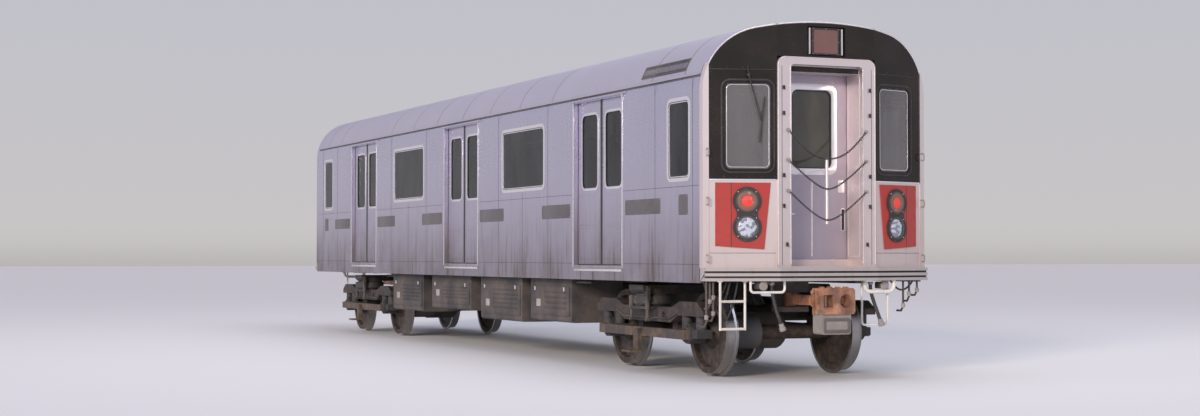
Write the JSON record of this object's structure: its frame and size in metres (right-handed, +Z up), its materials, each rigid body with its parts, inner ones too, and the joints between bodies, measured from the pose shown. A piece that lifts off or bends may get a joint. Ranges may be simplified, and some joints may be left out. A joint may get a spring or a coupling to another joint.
{
  "type": "metro car",
  "caption": "Stainless steel metro cab car with a chained end doorway, dark mask, red lamp panels, paired sliding side doors and two powered bogies.",
  "frame": {"origin": "on the plane of the wheel flanges' lowest points, below the middle of the car", "axes": "+Z up, +Y towards the plain rear end (the cab end faces -Y), +X to the car's left side"},
  "size_m": [2.636, 15.6499, 3.6716],
  "materials": {
    "stainless": "brushed, lightly weathered",
    "bright_steel": "polished edge trim",
    "roof_metal": "smooth, dull",
    "dark_mask": "satin black",
    "lamp_red_panel": "semi-gloss, weathered",
    "black_rubber": "matt",
    "lamp_lens": "moulded lens",
    "window_glass": "tinted",
    "sign_face": "blank, dull",
    "underframe_black": "matt, dirty",
    "grille_dark": "matt",
    "floor_covering": "matt, speckled",
    "liner": "smooth panel",
    "seat_plastic": "moulded",
    "cab_grey": "textured",
    "handrail_steel": "brushed bright",
    "step_white": "worn paint",
    "chain_steel": "dark",
    "bogie_steel": "matt, brake dust",
    "spring_rubber": "matt",
    "motor_grey": "matt",
    "shoe_beam": "oiled, dirty",
    "wheel_steel": "rolled steel, tread bright",
    "coupler_orange": "primer and rust"
  },
  "bodies": {
    "root": {"underframe": "underframe_black", "draft_gear": "underframe_black", "floor_panel": "floor_covering", "roof_shell": "roof_metal", "roof_units": "grille_dark", "front_end_frame": "stainless", "front_mask": "dark_mask", "lamp_panels": "lamp_red_panel", "lamp_bezels": "black_rubber", "lamps": "lamp_lens", "wiper": "black_rubber", "destination_sign": "sign_face", "anticlimbers": "bright_steel", "brackets_and_hooks": "bright_steel", "rear_wall": "stainless", "side_wall_right": "stainless", "side_wall_left": "stainless", "window_frames": "bright_steel", "window_glass": "window_glass", "ceiling_lining": "liner", "benches": "seat_plastic", "handrails": "handrail_steel", "cab_partition": "liner", "cab_console": "cab_grey", "cab_seat": "cab_grey", "step_ladders": "step_white", "underfloor_equipment": "underframe_black", "end_pipes": "step_white", "chain_top": "chain_steel", "chain_middle": "chain_steel", "chain_bottom": "chain_steel"},
    "bogie_front": {"bogie_frame_front": "bogie_steel", "bogie_springs_front": "spring_rubber", "traction_motors_front": "motor_grey", "shoe_gear_front": "shoe_beam"},
    "wheelset_1": {"wheelset_1": "wheel_steel"},
    "wheelset_2": {"wheelset_2": "wheel_steel"},
    "bogie_rear": {"bogie_frame_rear": "bogie_steel", "bogie_springs_rear": "spring_rubber", "traction_motors_rear": "motor_grey", "shoe_gear_rear": "shoe_beam"},
    "wheelset_3": {"wheelset_3": "wheel_steel"},
    "wheelset_4": {"wheelset_4": "wheel_steel"},
    "door_right_1a": {"door_right_1a": "stainless"},
    "door_right_1b": {"door_right_1b": "stainless"},
    "door_right_2a": {"door_right_2a": "stainless"},
    "door_right_2b": {"door_right_2b": "stainless"},
    "door_right_3a": {"door_right_3a": "stainless"},
    "door_right_3b": {"door_right_3b": "stainless"},
    "door_left_1a": {"door_left_1a": "stainless"},
    "door_left_1b": {"door_left_1b": "stainless"},
    "door_left_2a": {"door_left_2a": "stainless"},
    "door_left_2b": {"door_left_2b": "stainless"},
    "door_left_3a": {"door_left_3a": "stainless"},
    "door_left_3b": {"door_left_3b": "stainless"},
    "end_door_front": {"end_door_front": "stainless"},
    "end_door_rear": {"end_door_rear": "stainless"},
    "cab_door": {"cab_door": "liner"},
    "coupler_front": {"coupler_front": "coupler_orange"},
    "drawbar_rear": {"drawbar_rear": "coupler_orange"}
  },
  "joints": [
    {"name": "bogie_front_yaw", "type": "hinge", "parent": "root", "child": "bogie_front", "pos_m": [0, -5.4865, 0.97], "axis": [0, 0, 1], "range_deg": [-5, 5]},
    {"name": "wheelset_1_spin", "type": "hinge", "parent": "bogie_front", "child": "wheelset_1", "pos_m": [0, -6.528, 0.46], "axis": [1, 0, 0], "continuous": true},
    {"name": "wheelset_2_spin", "type": "hinge", "parent": "bogie_front", "child": "wheelset_2", "pos_m": [0, -4.445, 0.46], "axis": [1, 0, 0], "continuous": true},
    {"name": "bogie_rear_yaw", "type": "hinge", "parent": "root", "child": "bogie_rear", "pos_m": [0, 5.4865, 0.97], "axis": [0, 0, 1], "range_deg": [-5, 5]},
    {"name": "wheelset_3_spin", "type": "hinge", "parent": "bogie_rear", "child": "wheelset_3", "pos_m": [0, 4.445, 0.46], "axis": [1, 0, 0], "continuous": true},
    {"name": "wheelset_4_spin", "type": "hinge", "parent": "bogie_rear", "child": "wheelset_4", "pos_m": [0, 6.528, 0.46], "axis": [1, 0, 0], "continuous": true},
    {"name": "door_right_1a_slide", "type": "slide", "parent": "root", "child": "door_right_1a", "axis": [0, -1, 0], "range_m": [0, 0.66]},
    {"name": "door_right_1b_slide", "type": "slide", "parent": "root", "child": "door_right_1b", "axis": [0, 1, 0], "range_m": [0, 0.66]},
    {"name": "door_right_2a_slide", "type": "slide", "parent": "root", "child": "door_right_2a", "axis": [0, -1, 0], "range_m": [0, 0.66]},
    {"name": "door_right_2b_slide", "type": "slide", "parent": "root", "child": "door_right_2b", "axis": [0, 1, 0], "range_m": [0, 0.66]},
    {"name": "door_right_3a_slide", "type": "slide", "parent": "root", "child": "door_right_3a", "axis": [0, -1, 0], "range_m": [0, 0.66]},
    {"name": "door_right_3b_slide", "type": "slide", "parent": "root", "child": "door_right_3b", "axis": [0, 1, 0], "range_m": [0, 0.66]},
    {"name": "door_left_1a_slide", "type": "slide", "parent": "root", "child": "door_left_1a", "axis": [0, -1, 0], "range_m": [0, 0.66]},
    {"name": "door_left_1b_slide", "type": "slide", "parent": "root", "child": "door_left_1b", "axis": [0, 1, 0], "range_m": [0, 0.66]},
    {"name": "door_left_2a_slide", "type": "slide", "parent": "root", "child": "door_left_2a", "axis": [0, -1, 0], "range_m": [0, 0.66]},
    {"name": "door_left_2b_slide", "type": "slide", "parent": "root", "child": "door_left_2b", "axis": [0, 1, 0], "range_m": [0, 0.66]},
    {"name": "door_left_3a_slide", "type": "slide", "parent": "root", "child": "door_left_3a", "axis": [0, -1, 0], "range_m": [0, 0.66]},
    {"name": "door_left_3b_slide", "type": "slide", "parent": "root", "child": "door_left_3b", "axis": [0, 1, 0], "range_m": [0, 0.66]},
    {"name": "end_door_front_slide", "type": "slide", "parent": "root", "child": "end_door_front", "axis": [1, 0, 0], "range_m": [0, 0.695]},
    {"name": "end_door_rear_slide", "type": "slide", "parent": "root", "child": "end_door_rear", "axis": [1, 0, 0], "range_m": [0, 0.695]},
    {"name": "cab_door_hinge", "type": "hinge", "parent": "root", "child": "cab_door", "pos_m": [-0.332, -6.278, 2.1], "axis": [0, 0, 1], "range_deg": [0, 88]},
    {"name": "coupler_front_swing", "type": "hinge", "parent": "root", "child": "coupler_front", "pos_m": [0, -6.85, 0.815], "axis": [0, 0, 1], "range_deg": [-8, 8]},
    {"name": "drawbar_rear_swing", "type": "hinge", "parent": "root", "child": "drawbar_rear", "pos_m": [0, 6.85, 0.815], "axis": [0, 0, 1], "range_deg": [-8, 8]}
  ],
  "couplings": [
    {"joint": "door_right_1b_slide", "follows": "door_right_1a_slide", "ratio": 1},
    {"joint": "door_right_2b_slide", "follows": "door_right_2a_slide", "ratio": 1},
    {"joint": "door_right_3b_slide", "follows": "door_right_3a_slide", "ratio": 1},
    {"joint": "door_left_1b_slide", "follows": "door_left_1a_slide", "ratio": 1},
    {"joint": "door_left_2b_slide", "follows": "door_left_2a_slide", "ratio": 1},
    {"joint": "door_left_3b_slide", "follows": "door_left_3a_slide", "ratio": 1}
  ]
}
